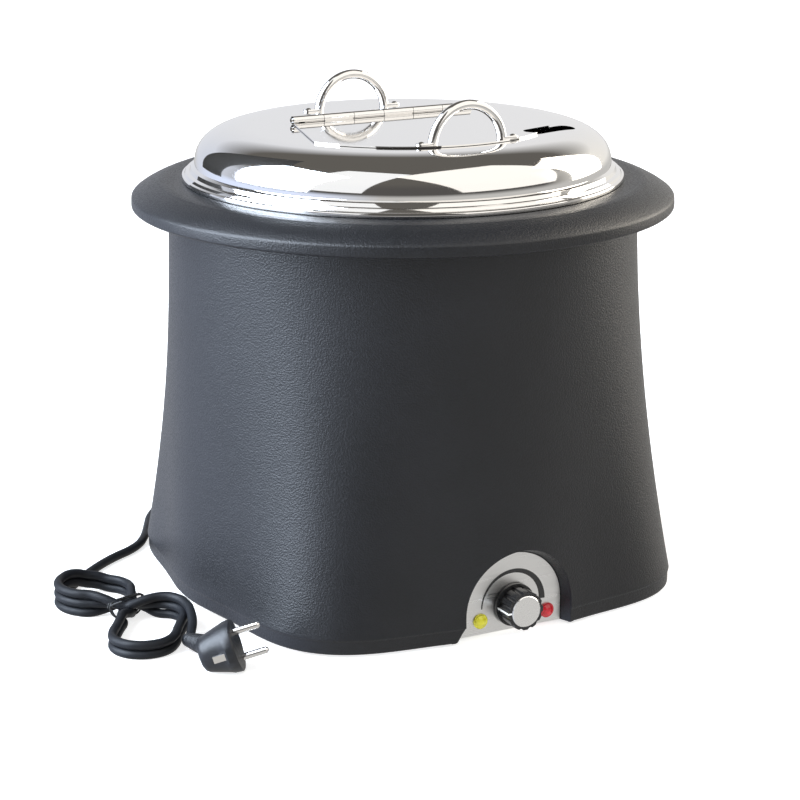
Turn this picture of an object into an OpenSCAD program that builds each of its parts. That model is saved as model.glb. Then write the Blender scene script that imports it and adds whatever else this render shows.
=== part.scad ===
// Electric wet-well soup kettle with a lift-out pot, a hinged two-piece lid and a mains lead.
// Millimetres. +Z is up, the control panel faces -Y, and the origin is on the table under the centre.

/* [Housing] */
// Radius of the housing's round top
top_r = 171; // [166:0.5:175]
// Half width of the base across its flat sides
base_flat = 180; // [174:1:186]
// Reach of the base at its four corners
base_corner = 204; // [196:1:210]
// How much the sides flatten between the corners
side_bow = 4; // [0:0.5:6]
// How late the flare starts on its way down
flare_power = 1.7; // [1.2:0.1:2.4]
// Height of the band around the foot
foot_h = 13; // [9:1:17]
// Thickness of the moulded walls
wall = 3.5; // [3:0.5:5]

/* [Collar] */
// Outer radius of the collar's skirt
collar_r = 197.5; // [196:0.5:202]

/* [Pot and well] */
// Inside radius of the soup pot
pot_r = 138; // [134:0.5:139]
// Height of the pot's bottom
pot_floor = 96; // [90:1:120]
// Inside radius of the water well
well_r = 147; // [146:0.5:148]
// Height of the well's bottom
well_floor = 71; // [71:1:76]

/* [Lid] */
// Outer radius of the lid's flange
lid_r = 160.6; // [160.4:0.1:162]
// Height of the lid's flat top
lid_top = 336.5; // [330:0.5:342]
// Radius of the flap's curved front edge
flap_r = 106; // [100:1:108]
// Half length of the hinge
hinge_half = 73.5; // [66:0.5:76]
// Distance of the hinge behind the centre
hinge_y = 32; // [26:1:38]
// Rod diameter of the two handles
handle_d = 7; // [6:0.5:8]
// Radius of the handles' bend, on the rod's centre
handle_r = 27.5; // [24:0.5:30]

/* [Control panel] */
// Height of the knob's axis
knob_z = 21; // [20:0.5:22]
// Radius of the knob's skirt
knob_r = 15.5; // [14:0.5:16]
// Length of the knob
knob_len = 17; // [15:0.5:19]
// Front face of the metal plate
plate_y = -165; // [-166:0.5:-164]

/* [Mains lead] */
// Diameter of the lead
cord_d = 6.6; // [6.4:0.1:7]
// Diameter of the plug's pins
pin_d = 4.8; // [4.8]
// Distance between the plug's pins
pin_pitch = 19; // [19]

/* [Hidden] */
$fn = 96;
floor_gap = 2;
housing_top = 281.5;
collar_top = 298.5;
steel = 1.2;
fit_gap = 0.3;
lid_base = collar_top + fit_gap;
dome_foot_z = 309;
dome_foot_r = 151.4;
dome_flat_r = 110;
dome_power = 2.4;
flap_t = 1;
flap_z = lid_top + fit_gap;
knuckle_r = 3;
hinge_z = lid_top + knuckle_r + 0.1;
knuckles = 6;
knuckle_gap = 0.4;
hinge_pin_r = 1.5;
rear_handle_y = 82;
front_handle_y = -95;
notch_at = [79, -74];
notch_turn = 17;
notch_len = 48;
notch_w = 15;
recess_r = 38.8;
recess_draft = 0.37;
arch_z = 20;
plate_t = 1;
back_wall_y = plate_y + plate_t;
shaft_r = 3;
lamp_at = [[-26.5, 12.5], [27.5, 11.5]];
gland_z = 24;
cord_r = cord_d / 2;
boss_at = 188;
feet_at = 165;
stud_ring = 45;
stud_angles = [30, 150, 270];
plug_at = [-201, -141, 19];
plug_tilt = 18;
plug_turn = -28;
plug_face_r = 18.5;
hank_h = 26;
hank_left = [-240, 24];
hank_left_r = 30;
hank_mid = [-221, -41];
hank_right = [-241, -72];
hank_right_r = 25;
hank_waist = 26;

// The lead's route on its centre line, from the strain relief to the hank
cord_route = [
    [0, 213, 24], [0, 224, 23], [-3, 236, 19.5], [-11, 246, 14], [-24, 252, 8.2],
    [-40, 252, 4.4], [-58, 247, 3.4], [-76, 238, 3.4], [-93, 227, 3.4], [-108, 213, 3.4],
    [-121, 197, 3.4], [-133, 181, 3.4], [-142, 164, 3.4], [-150, 148, 3.4], [-158, 134, 3.4],
    [-167, 122, 3.4], [-179, 112, 3.4], [-191, 105, 3.4], [-203, 97, 3.4], [-215, 87.5, 3.4],
    [-226.5, 77, 3.4], [-237.5, 66, 3.4], [-246.5, 56.5, 3.4]
];

// Reach of the housing's outline at angle a, where s is 0 at the round top and 1 at the base
function reach(a, s) =
    let (mid = (base_flat + base_corner) / 2 - side_bow)
    let (half = (base_corner - base_flat) / 2)
    top_r * (1 - s) + s * (mid - half * cos(4 * a) + side_bow * cos(8 * a));
function flare(z) = z <= foot_h ? 1 : pow((housing_top - z) / (housing_top - foot_h), flare_power);
function outline(z, inset, count) = [
    for (i = [0:count - 1])
        let (a = i * 360 / count, r = reach(a, flare(z)) - inset)
        [r * cos(a), r * sin(a), z]
];
function unit(v) = v / norm(v);
function flat_points(ring) = [for (p = ring) [p[0], p[1]]];

// Closed solid through a stack of rings that all have the same number of points
module skin(rings) {
    n = len(rings[0]);
    m = len(rings);
    points = [for (ring = rings) for (p = ring) p];
    sides = [
        for (j = [0:m - 2]) for (i = [0:n - 1])
            [j * n + i, (j + 1) * n + i, (j + 1) * n + (i + 1) % n, j * n + (i + 1) % n]
    ];
    bottom = [[for (i = [0:n - 1]) i]];
    top = [[for (i = [0:n - 1]) (m - 1) * n + n - 1 - i]];
    polyhedron(points = points, faces = concat(bottom, sides, top), convexity = 8);
}

function backwards(list) = [for (i = [len(list) - 1:-1:0]) list[i]];

// Round tube swept along the route, with flat ends
module swept_tube(route, r, sides) {
    last = len(route) - 1;
    rings = [
        for (i = [0:last])
            let (t = unit(route[min(i + 1, last)] - route[max(i - 1, 0)]))
            let (u = unit(cross(t, [0, 0, 1])), v = cross(u, t))
            [for (k = [0:sides - 1]) route[i] + r * (cos(k * 360 / sides) * u - sin(k * 360 / sides) * v)]
    ];
    skin(backwards(rings));
}

// Round rod between two points, tapered if the radii differ
module rod(p, q, r1, r2) {
    d = q - p;
    translate(p)
        rotate([0, acos(d[2] / norm(d)), atan2(d[1], d[0])])
            cylinder(h = norm(d), r1 = r1, r2 = r2);
}

module at_corners(distance) {
    for (a = [45:90:315]) rotate([0, 0, a]) translate([distance, 0, 0]) children();
}

module along_y(y) {
    translate([0, y, 0]) rotate([90, 0, 0]) children();
}

// Housing ---------------------------------------------------------------

module outer_form() {
    steps = 20;
    skin(concat(
        [outline(floor_gap, 1.8, 96), outline(floor_gap + 1, 0.8, 96), outline(foot_h - 1.2, 0.8, 96)],
        [for (k = [0:steps]) outline(foot_h + (housing_top - foot_h) * k / steps, 0, 96)]
    ));
}

module inner_form() {
    steps = 10;
    low = floor_gap - 1;
    high = housing_top - wall;
    skin(concat(
        [outline(low, wall + 0.8, 72)],
        [for (k = [0:steps]) outline(foot_h + (high - foot_h) * k / steps, wall, 72)]
    ));
}

// Arch of the control panel, drawn in x and z
module arch(r, low) {
    intersection() {
        translate([0, arch_z]) circle(r = r);
        translate([-r, arch_z - 6]) square([2 * r, r + 7]);
    }
    translate([-r, low]) square([2 * r, arch_z - low]);
}

// Lower left flare of the control panel, drawn in x and z
module flare_out(grow, low) {
    x = -47 - grow - (floor_gap - low) * 0.75;
    polygon([[x, low], [-recess_r - grow, foot_h + grow], [-30, foot_h + grow], [-30, low]]);
}

// Solid arch that widens towards the front
module arch_block(y_back, r_back, y_front, low) {
    r_front = r_back + (y_back - y_front) * recess_draft;
    hull() {
        along_y(y_back) linear_extrude(0.1) arch(r_back, low);
        along_y(y_front) linear_extrude(0.1) arch(r_front, low);
    }
}

module housing() {
    depth = 2.5;
    color([0.13, 0.135, 0.15])
    difference() {
        union() {
            difference() {
                outer_form();
                inner_form();
            }
            intersection() {
                outer_form();
                union() {
                    arch_block(back_wall_y + depth, recess_r + 3, plate_y - 14, floor_gap);
                    along_y(back_wall_y + depth) linear_extrude(16) flare_out(3, floor_gap);
                    at_corners(boss_at) translate([0, 0, 5.5]) cylinder(h = 16, r = 7);
                    at_corners(boss_at) translate([0, -1.5, 5.5]) cube([20, 3, 14]);
                }
            }
        }
        arch_block(back_wall_y, recess_r, -192, -5);
        along_y(back_wall_y) linear_extrude(30) flare_out(0, -5);
        hull() {
            along_y(-172) linear_extrude(0.1)
                polygon([[-52, 0], [-42.5, foot_h], [42.5, foot_h], [52, 0]]);
            along_y(-192) linear_extrude(0.1)
                polygon([[-55, 0], [-45, foot_h], [45, foot_h], [55, 0]]);
        }
        translate([0, 0, housing_top - wall - 1]) cylinder(h = wall + 2, r = 152);
        translate([0, 160, gland_z]) rotate([-90, 0, 0]) cylinder(h = 40, r = 8.2);
        translate([0, -150, knob_z]) rotate([90, 0, 0]) cylinder(h = 20, r = 5);
        for (p = lamp_at) translate([p[0], -150, p[1]]) rotate([90, 0, 0]) cylinder(h = 20, r = 4.6);
        at_corners(boss_at) translate([0, 0, 4]) cylinder(h = 14, r = 1.5);
    }
}

module rim_collar() {
    r = collar_r;
    z = collar_top;
    color([0.14, 0.145, 0.16])
    rotate_extrude()
    polygon([
        [r - 1.3, z - 19], [r - 0.3, z - 18.1], [r, z - 16.7], [r, z - 12.3], [r - 0.6, z - 10.5],
        [r - 2.1, z - 8.9], [r - 6.5, z - 6.2], [r - 13, z - 3], [r - 19, z - 0.9], [r - 21, z - 0.4],
        [r - 24, z], [160.2, z], [160.2, z - 3.5], [149.5, z - 3.5], [149.5, housing_top],
        [152.5, housing_top], [152.5, z - 7], [163.5, z - 7], [165, z - 4.5], [r - 25, z - 3.6],
        [r - 14, z - 6.3], [r - 7.5, z - 9.4], [r - 4, z - 12.5], [r - 4, z - 19]
    ]);
}

module base_plate() {
    color([0.55, 0.56, 0.58])
    difference() {
        translate([0, 0, 4]) linear_extrude(steel)
            polygon(flat_points(outline(0, wall + 1.6, 96)));
        translate([-60, -200, 0]) cube([120, 62, 10]);
        at_corners(boss_at) cylinder(h = 10, r = 2.2);
        at_corners(feet_at) cylinder(h = 10, r = 3);
        for (x = [-60:12:60]) for (y = [-48, 48])
            translate([x - 2, y - 14, 0]) cube([4, 28, 10]);
    }
}

module base_screws() {
    color([0.7, 0.7, 0.72])
    at_corners(boss_at) {
        translate([0, 0, 2.4]) cylinder(h = 1.6, r1 = 3.2, r2 = 3.6);
        translate([0, 0, 4]) cylinder(h = 10, r = 1.5);
    }
}

module rubber_feet() {
    color([0.06, 0.06, 0.06])
    at_corners(feet_at) {
        cylinder(h = 4, r1 = 10.5, r2 = 12);
        cylinder(h = 5.2, r = 3);
        translate([0, 0, 5.2]) cylinder(h = 2, r = 4.2);
    }
}

// Well, pot and heating -------------------------------------------------

// Round vessel with a flange, a rounded bottom edge and thickness t
module vessel(r, low, flange_low, flange_r, t) {
    bend = 14;
    outer = [for (a = [0:15:90]) [r + t - bend * (1 - sin(a)), low - t + bend * (1 - cos(a))]];
    inner = [for (a = [90:-15:0]) [r - bend * (1 - sin(a)), low + bend * (1 - cos(a))]];
    rotate_extrude()
    polygon(concat(
        [[0, low - t]], outer, [[r + t, flange_low]],
        [[flange_r, flange_low], [flange_r, flange_low + t], [r, flange_low + t]], inner, [[0, low]]
    ));
}

module well_pan() {
    color([0.78, 0.79, 0.8]) {
        vessel(well_r, well_floor, collar_top - 3.5, 157, steel);
        for (a = stud_angles)
            rotate([0, 0, a]) translate([stud_ring, 0, 50]) cylinder(h = 20, r = 3);
    }
}

module soup_pot() {
    color([0.82, 0.83, 0.84]) {
        vessel(pot_r, pot_floor, collar_top - steel, 158.4, steel);
        rotate_extrude() translate([157.6, collar_top - 2]) square([1.2, 2]);
    }
}

module heat_spreader() {
    color([0.72, 0.73, 0.74])
    difference() {
        translate([0, 0, well_floor - steel - 3.3]) cylinder(h = 3.3, r = 118);
        for (a = stud_angles)
            rotate([0, 0, a]) translate([stud_ring, 0, 50]) cylinder(h = 30, r = 3.4);
    }
}

module heating_element() {
    ring_z = well_floor - steel - 3.3 - 4;
    color([0.3, 0.29, 0.28]) {
        translate([0, 0, ring_z]) rotate_extrude() translate([92, 0]) circle(r = 4);
        for (x = [-9, 9]) translate([x, sqrt(92 * 92 - 81), ring_z - 24]) cylinder(h = 24, r = 2.5);
    }
}

module heat_shield() {
    color([0.75, 0.76, 0.77])
    difference() {
        rotate_extrude() polygon([[0, 54], [112, 54], [118, 60], [117.2, 60.8], [111.6, 55.2], [0, 55.2]]);
        for (a = stud_angles)
            rotate([0, 0, a]) translate([stud_ring, 0, 50]) cylinder(h = 30, r = 3.4);
        for (x = [-9, 9]) translate([x, sqrt(92 * 92 - 81), 40]) cylinder(h = 24, r = 5);
        translate([38, -95, 50]) cylinder(h = 20, r = 5);
        translate([0, 0, 50]) cylinder(h = 10, r = 12);
    }
}

module shield_nuts() {
    color([0.66, 0.64, 0.6])
    for (a = stud_angles)
        rotate([0, 0, a]) translate([stud_ring, 0, 50.4])
            difference() {
                cylinder(h = 3.6, r = 6.4, $fn = 6);
                translate([0, 0, -1]) cylinder(h = 6, r = 3);
            }
}

module thermal_cutout() {
    z = well_floor - steel - 3.3;
    color([0.15, 0.15, 0.16]) {
        translate([0, 0, z - 8]) cylinder(h = 8, r = 9);
        for (x = [-5, 5]) translate([x - 3.2, -0.4, z - 18]) cube([6.4, 0.8, 10]);
    }
}

module sensor_bulb() {
    color([0.72, 0.45, 0.3])
    translate([40, -72, well_floor - steel - 3.3 - 3.2]) rotate([-90, 0, 0]) cylinder(h = 84, r = 3);
}

module capillary_tube() {
    z = well_floor - steel - 3.3 - 3.2;
    color([0.74, 0.47, 0.32])
    swept_tube([[10, -132.3, 28], [10, -124, 28.5], [14, -112, 33], [25, -104, 42], [34, -99, 50],
        [39, -93, 56], [40, -87, 56.8], [40, -80, 57.2], [40, -76.5, z - 2.6], [40, -72.3, z]], 1, 8);
}

// Lid -------------------------------------------------------------------

// Domed section of the lid, shrunk by t
function dome(t) = [
    for (a = [0:7.5:90])
        [
            dome_flat_r + (dome_foot_r - t - dome_flat_r) * pow(cos(a), 2 / dome_power),
            dome_foot_z + (lid_top - t - dome_foot_z) * pow(sin(a), 2 / dome_power)
        ]
];

module ladle_notch(z, h) {
    translate([notch_at[0], notch_at[1], z])
        rotate([0, 0, notch_turn])
            linear_extrude(h) {
                square([notch_len - notch_w, notch_w], center = true);
                for (s = [-1, 1]) translate([s * (notch_len - notch_w) / 2, 0]) circle(d = notch_w);
            }
}

// D-shaped outline of the flap, made smaller by inset
module flap_outline(inset, rear) {
    side = flap_r * sin(63) - inset;
    front = -flap_r * cos(63);
    intersection() {
        circle(r = flap_r - inset);
        polygon([
            [-hinge_half + inset, rear], [hinge_half - inset, rear], [side, front],
            [side, -flap_r], [-side, -flap_r], [-side, front]
        ]);
    }
}

module lid_shell() {
    low = lid_base;
    color([0.86, 0.87, 0.88])
    difference() {
        rotate_extrude()
        polygon(concat(
            [
                [152, low], [lid_r - 0.4, low], [lid_r, low + 0.6], [lid_r, low + 2.6],
                [lid_r - 0.6, low + 3.4], [lid_r - 1.9, low + 3.7], [lid_r - 2.3, low + 5.2],
                [lid_r - 4.2, low + 6], [lid_r - 5.6, low + 6.2], [lid_r - 6.2, low + 8.2],
                [lid_r - 7.4, low + 9.4], [dome_foot_r + 0.3, low + 9.7]
            ],
            dome(0), [[0, lid_top], [0, lid_top - steel]], backwards(dome(steel)),
            [[dome_foot_r - steel, low + 9], [152, low + 8]]
        ));
        translate([0, 0, lid_top - 8]) linear_extrude(20) flap_outline(6, hinge_y + 3.2);
        ladle_notch(lid_top - 20, 30);
    }
}

module lid_locating_ring() {
    color([0.84, 0.85, 0.86])
    rotate_extrude()
    polygon([
        [135, lid_base - 11], [136.2, lid_base - 11], [136.2, lid_base], [152, lid_base],
        [152, lid_base + steel], [135, lid_base + steel]
    ]);
}

module lid_flap() {
    color([0.86, 0.87, 0.88])
    difference() {
        translate([0, 0, flap_z]) linear_extrude(flap_t) flap_outline(0, hinge_y - knuckle_r - 0.4);
        ladle_notch(flap_z - 2, 6);
    }
}

// Every second knuckle of the hinge, from the first one given
module knuckle_row(first, bore_r) {
    pitch = 2 * hinge_half / knuckles;
    for (k = [first:2:knuckles - 1])
        translate([-hinge_half + k * pitch + knuckle_gap / 2, hinge_y, hinge_z])
            rotate([0, 90, 0])
                difference() {
                    cylinder(h = pitch - knuckle_gap, r = knuckle_r);
                    translate([0, 0, -1]) cylinder(h = pitch + 2, r = bore_r);
                }
}

// Neck under each knuckle of a row
module knuckle_necks(first, y, low, high, depth) {
    pitch = 2 * hinge_half / knuckles;
    for (k = [first:2:knuckles - 1])
        translate([max(-66, -hinge_half + k * pitch + 1), y, low])
            cube([pitch - (k == 0 || k == knuckles - 1 ? 8.5 : 2), depth, high - low]);
}

module hinge_lid_leaf() {
    color([0.83, 0.84, 0.85]) {
        knuckle_row(0, hinge_pin_r);
        knuckle_necks(0, hinge_y + 1.8, lid_top - steel - 0.8, hinge_z - 1.8, 1);
        translate([-66, hinge_y + 1.8, lid_top - steel - 0.8]) cube([132, 13, 0.8]);
    }
}

module hinge_flap_leaf() {
    color([0.83, 0.84, 0.85]) {
        knuckle_row(1, hinge_pin_r + 0.05);
        knuckle_necks(1, hinge_y - 3.3, flap_z - 0.8, hinge_z - 1.8, 1.5);
        translate([-64, hinge_y - 16, flap_z - 0.8]) cube([128, 13.6, 0.8]);
    }
}

module hinge_pin() {
    color([0.8, 0.8, 0.8])
    translate([-hinge_half - 1, hinge_y, hinge_z]) rotate([0, 90, 0])
        cylinder(h = 2 * hinge_half + 2, r = hinge_pin_r);
}

// Bent rod handle with flattened feet, standing on height z
module rod_handle(y, z) {
    sink = 2;
    foot = 9;
    intersection() {
        translate([0, y, z - sink]) rotate([90, 0, 0]) rotate_extrude()
            translate([handle_r, 0]) circle(d = handle_d);
        translate([-100, y - 20, z]) cube([200, 40, 60]);
    }
    for (s = [-1, 1])
        translate([s * (handle_r + handle_d / 2 + foot / 2 - 3), y, z])
            linear_extrude(1.6) {
                square([foot, handle_d - 0.6], center = true);
                translate([s * foot / 2, 0]) circle(d = handle_d - 0.6);
            }
}

// One rivet head on each foot of a handle
module foot_rivets(y, z) {
    for (s = [-1, 1])
        translate([s * (handle_r + handle_d / 2 + 5.2), y, z + 1.6])
            intersection() {
                translate([0, 0, -2.2]) sphere(r = 3.2);
                cylinder(h = 3, r = 3);
            }
}

module lid_handle_rear() {
    color([0.85, 0.86, 0.87]) rod_handle(rear_handle_y, lid_top);
}

module lid_handle_front() {
    color([0.85, 0.86, 0.87]) rod_handle(front_handle_y, flap_z + flap_t);
}

module rear_handle_rivets() {
    color([0.8, 0.81, 0.82]) foot_rivets(rear_handle_y, lid_top);
}

module front_handle_rivets() {
    color([0.8, 0.81, 0.82]) foot_rivets(front_handle_y, flap_z + flap_t);
}

// Control panel ---------------------------------------------------------

module panel_plate() {
    color([0.8, 0.81, 0.82])
    difference() {
        along_y(back_wall_y) linear_extrude(plate_t) {
            arch(recess_r - 0.2, floor_gap + 0.4);
            flare_out(-0.3, floor_gap + 0.4);
        }
        translate([0, -150, knob_z]) rotate([90, 0, 0]) cylinder(h = 30, r = 5);
        for (p = lamp_at) translate([p[0], -150, p[1]]) rotate([90, 0, 0]) cylinder(h = 30, r = 4.6);
    }
}

// Tapered arc that grows thicker clockwise
module scale_print() {
    outer_r = 25.8;
    thin = 0.8;
    thick = 4.8;
    outer_arc = [for (a = [0:6:180]) outer_r * [cos(a), sin(a)]];
    inner_arc = [for (a = [180:-6:0]) (outer_r - thick + (thick - thin) * a / 180) * [cos(a), sin(a)]];
    color([0.12, 0.12, 0.12])
    translate([0, plate_y, knob_z]) rotate([90, 0, 0])
        linear_extrude(0.2) polygon(concat(outer_arc, inner_arc));
}

module control_knob() {
    grip_r = knob_r - 1.6;
    color([0.05, 0.05, 0.055])
    translate([0, plate_y - 0.8, knob_z]) rotate([90, 0, 0])
        difference() {
            union() {
                cylinder(h = 2.6, r = knob_r);
                translate([0, 0, 2.5]) linear_extrude(knob_len - 2.5)
                    difference() {
                        circle(r = grip_r);
                        for (k = [0:11]) rotate(k * 30 + 15) translate([grip_r + 1.1, 0]) circle(r = 2.1);
                    }
            }
            translate([0, 0, -1]) cylinder(h = 5, r = 8.6);
            translate([0, 0, -1]) cylinder(h = 13, r = shaft_r);
        }
}

module knob_cap() {
    color([0.85, 0.85, 0.86])
    translate([0, plate_y - 0.8 - knob_len, knob_z]) rotate([90, 0, 0]) {
        cylinder(h = 0.5, r = 11.3);
        translate([0, 0, 0.5]) cylinder(h = 0.5, r1 = 11.3, r2 = 10.8);
    }
}

module knob_pointer() {
    reach_in = 11.5;
    color([0.95, 0.95, 0.95])
    translate([0, plate_y - 0.8, knob_z]) rotate([90, 0, 0]) {
        translate([-knob_r + 1.1, -0.6, 2.6]) cube([0.5, 1.2, knob_len - 2.3]);
        translate([-knob_r + 1.1, -0.6, knob_len]) cube([knob_r - 1.1 - reach_in, 1.2, 0.3]);
    }
}

module thermostat_shaft() {
    color([0.75, 0.75, 0.76])
    translate([0, -152, knob_z]) rotate([90, 0, 0]) cylinder(h = 25.8, r = shaft_r);
}

module thermostat_body() {
    color([0.9, 0.88, 0.82])
    difference() {
        union() {
            translate([-17, -160.6, knob_z - 14.5]) cube([34, 28, 29]);
            translate([0, -160, knob_z]) rotate([90, 0, 0]) cylinder(h = 7.5, r = 4.8);
            for (x = [-11, 0, 11]) translate([x - 3, -132.6, knob_z - 4]) cube([6, 8, 0.8]);
        }
        translate([0, -150, knob_z]) rotate([90, 0, 0]) cylinder(h = 30, r = shaft_r + 0.05);
    }
}

module thermostat_nut() {
    color([0.75, 0.7, 0.55])
    translate([0, plate_y, knob_z]) rotate([90, 0, 0])
        difference() {
            cylinder(h = 2.4, r = 7.6, $fn = 6);
            translate([0, 0, -1]) cylinder(h = 5, r = 4.8);
        }
}

// Round indicator lens with a flange
module lens(p) {
    translate([p[0], plate_y, p[1]]) rotate([90, 0, 0]) {
        cylinder(h = 1, r = 5.5);
        translate([0, 0, 1]) cylinder(h = 0.8, r1 = 5, r2 = 4.6);
        translate([0, 0, -10]) cylinder(h = 10, r = 4.2);
        intersection() {
            translate([0, 0, -3.4]) sphere(r = 6.6);
            cylinder(h = 6, r = 4.4);
        }
    }
}

module heating_lamp() {
    color([0.85, 0.75, 0.1]) lens(lamp_at[0]);
}

module low_water_lamp() {
    color([0.75, 0.05, 0.1]) lens(lamp_at[1]);
}

module lamp_holders() {
    color([0.93, 0.93, 0.9])
    for (p = lamp_at)
        translate([p[0], -155, p[1]]) rotate([-90, 0, 0]) {
            cylinder(h = 14, r = 4.2);
            for (x = [-2, 2]) translate([x - 0.4, -1.6, 14]) cube([0.8, 3.2, 7]);
        }
}

// Wiring ----------------------------------------------------------------

module terminal_block() {
    color([0.92, 0.92, 0.9])
    difference() {
        translate([42, 96, 5.3]) cube([44, 20, 16]);
        for (k = [0:3]) translate([49 + k * 10, 106, 12]) cylinder(h = 20, r = 3);
    }
}

module wiring_loom() {
    ring_y = sqrt(92 * 92 - 81);
    r = 1.4;
    color([0.2, 0.25, 0.6]) {
        swept_tube([[2, 169.5, gland_z], [12, 152, 22], [34, 138, 17], [52, 128, 14], [58, 121, 13.2], [59, 116.3, 13]], r, 8);
        swept_tube([[-2, 169.5, gland_z], [2, 148, 21], [20, 134, 16], [40, 126, 13.4], [48, 121, 13], [49, 116.3, 13]], r, 8);
        swept_tube([[0, 169.5, gland_z + 3], [-8, 140, 30], [-12, 116, 36], [-9, ring_y + 3.9, 38]], r, 8);
        swept_tube([[59, 95.6, 13], [59, 90, 13], [56, 40, 12], [30, -60, 12], [14, -110, 15], [11, -124.3, 17.4]], r, 8);
        swept_tube([[49, 95.6, 13], [49, 90, 13], [40, 40, 12], [14, -60, 12], [2, -110, 15], [0, -124.3, 17.4]], r, 8);
        swept_tube([[69, 95.6, 13], [68.6, 91, 13.6], [62, 87, 18], [40, 86, 30], [13, ring_y, 38]], r, 8);
    }
}

// Mains lead ------------------------------------------------------------

module cord_gland() {
    color([0.07, 0.07, 0.08])
    translate([0, 170, gland_z]) rotate([-90, 0, 0])
        difference() {
            union() {
                cylinder(h = 12, r = 8);
                translate([0, 0, 9.9]) cylinder(h = 3.1, r = 11.5);
            }
            translate([0, 0, -1]) cylinder(h = 20, r = 4);
        }
}

module gland_nut() {
    color([0.07, 0.07, 0.08])
    translate([0, 170.4, gland_z]) rotate([-90, 0, 0])
        difference() {
            cylinder(h = 4.6, r = 12.5, $fn = 6);
            translate([0, 0, -1]) cylinder(h = 10, r = 8);
        }
}

module strain_relief() {
    ribs = 6;
    pitch = 4.6;
    color([0.06, 0.06, 0.07])
    translate([0, 183, gland_z]) rotate([-90, 0, 0])
        for (k = [0:ribs - 1])
            translate([0, 0, k * 5]) {
                cylinder(h = 5, r = 5.9 - k * 0.35);
                cylinder(h = 3.2, r = 7.4 - k * pitch / 10);
            }
}

module mains_cord() {
    color([0.05, 0.05, 0.055]) swept_tube(cord_route, cord_r, 10);
}

// Straight band of width w between two points of the plan
module band(p, q, w) {
    d = q - p;
    translate((p + q) / 2) rotate(atan2(d[1], d[0])) square([norm(d), w], center = true);
}

module cord_hank() {
    color([0.07, 0.07, 0.08])
    linear_extrude(hank_h) {
        translate(hank_left) circle(r = hank_left_r);
        band(hank_left, hank_mid, hank_waist);
        hull() {
            translate(hank_mid) circle(r = hank_right_r);
            translate(hank_right) circle(r = hank_right_r);
        }
    }
}

module cord_tie() {
    d = hank_mid - hank_left;
    color([0.03, 0.03, 0.03])
    translate(hank_left + d * 0.53) rotate(atan2(d[1], d[0]))
        difference() {
            translate([-2, -hank_waist / 2 - 1.2, 0]) cube([4, hank_waist + 2.4, hank_h + 1.2]);
            translate([-3, -hank_waist / 2, -1]) cube([6, hank_waist, hank_h + 1]);
        }
}

// Plug's own frame: x along the pins, z from pin to pin, origin on the face
module plug_frame() {
    translate(plug_at) rotate([0, -plug_tilt, plug_turn]) children();
}

module plug_body() {
    color([0.06, 0.06, 0.07])
    difference() {
        union() {
            plug_frame() rotate([0, -90, 0]) {
                cylinder(h = 5, r = plug_face_r);
                translate([0, 0, 5]) cylinder(h = 21, r1 = plug_face_r, r2 = 11.5);
            }
            rod([-213, -126, 14], [-215.5, -90, 7.5], 8.5, 5);
        }
        plug_frame() for (s = [-1, 1]) translate([-16, s * 19 - 4, -3]) cube([17, 8, 6]);
    }
}

module plug_pins() {
    color([0.85, 0.85, 0.86])
    plug_frame()
    for (s = [-1, 1])
        translate([0, 0, s * pin_pitch / 2]) rotate([0, 90, 0]) {
            cylinder(h = 17.6, r = pin_d / 2);
            translate([0, 0, 17.6]) cylinder(h = 1.4, r1 = pin_d / 2, r2 = pin_d / 2 - 1.1);
        }
}

module plug_earth_strips() {
    color([0.85, 0.85, 0.86])
    plug_frame()
    for (s = [-1, 1])
        translate([-15.8, s * 16 - 0.9, -2.4]) cube([15.6, 1.8, 4.8]);
}

housing();
rim_collar();
well_pan();
soup_pot();
lid_shell();
lid_locating_ring();
lid_flap();
hinge_lid_leaf();
hinge_flap_leaf();
hinge_pin();
lid_handle_rear();
lid_handle_front();
rear_handle_rivets();
front_handle_rivets();
panel_plate();
scale_print();
control_knob();
knob_cap();
knob_pointer();
thermostat_shaft();
thermostat_body();
thermostat_nut();
sensor_bulb();
capillary_tube();
heating_lamp();
low_water_lamp();
lamp_holders();
heating_element();
heat_spreader();
heat_shield();
shield_nuts();
thermal_cutout();
terminal_block();
wiring_loom();
base_plate();
base_screws();
rubber_feet();
cord_gland();
gland_nut();
strain_relief();
mains_cord();
cord_hank();
cord_tie();
plug_body();
plug_pins();
plug_earth_strips();
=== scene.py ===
import math
import bmesh
import bpy
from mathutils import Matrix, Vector


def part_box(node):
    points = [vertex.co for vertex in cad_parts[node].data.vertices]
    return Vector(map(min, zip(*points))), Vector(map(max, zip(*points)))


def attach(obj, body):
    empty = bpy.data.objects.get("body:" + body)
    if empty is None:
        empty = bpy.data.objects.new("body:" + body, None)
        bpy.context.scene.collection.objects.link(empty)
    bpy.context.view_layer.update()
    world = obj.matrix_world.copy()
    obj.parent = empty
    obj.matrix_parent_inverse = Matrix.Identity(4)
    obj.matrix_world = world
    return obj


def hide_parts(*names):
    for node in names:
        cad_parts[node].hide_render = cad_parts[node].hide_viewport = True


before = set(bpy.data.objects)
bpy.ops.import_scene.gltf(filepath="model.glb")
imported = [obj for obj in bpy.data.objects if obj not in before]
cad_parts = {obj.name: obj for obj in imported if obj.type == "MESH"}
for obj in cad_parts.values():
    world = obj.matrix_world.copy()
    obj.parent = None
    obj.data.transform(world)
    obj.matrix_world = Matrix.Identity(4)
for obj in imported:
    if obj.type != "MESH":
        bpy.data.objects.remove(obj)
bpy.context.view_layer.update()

MM = 0.001


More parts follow.
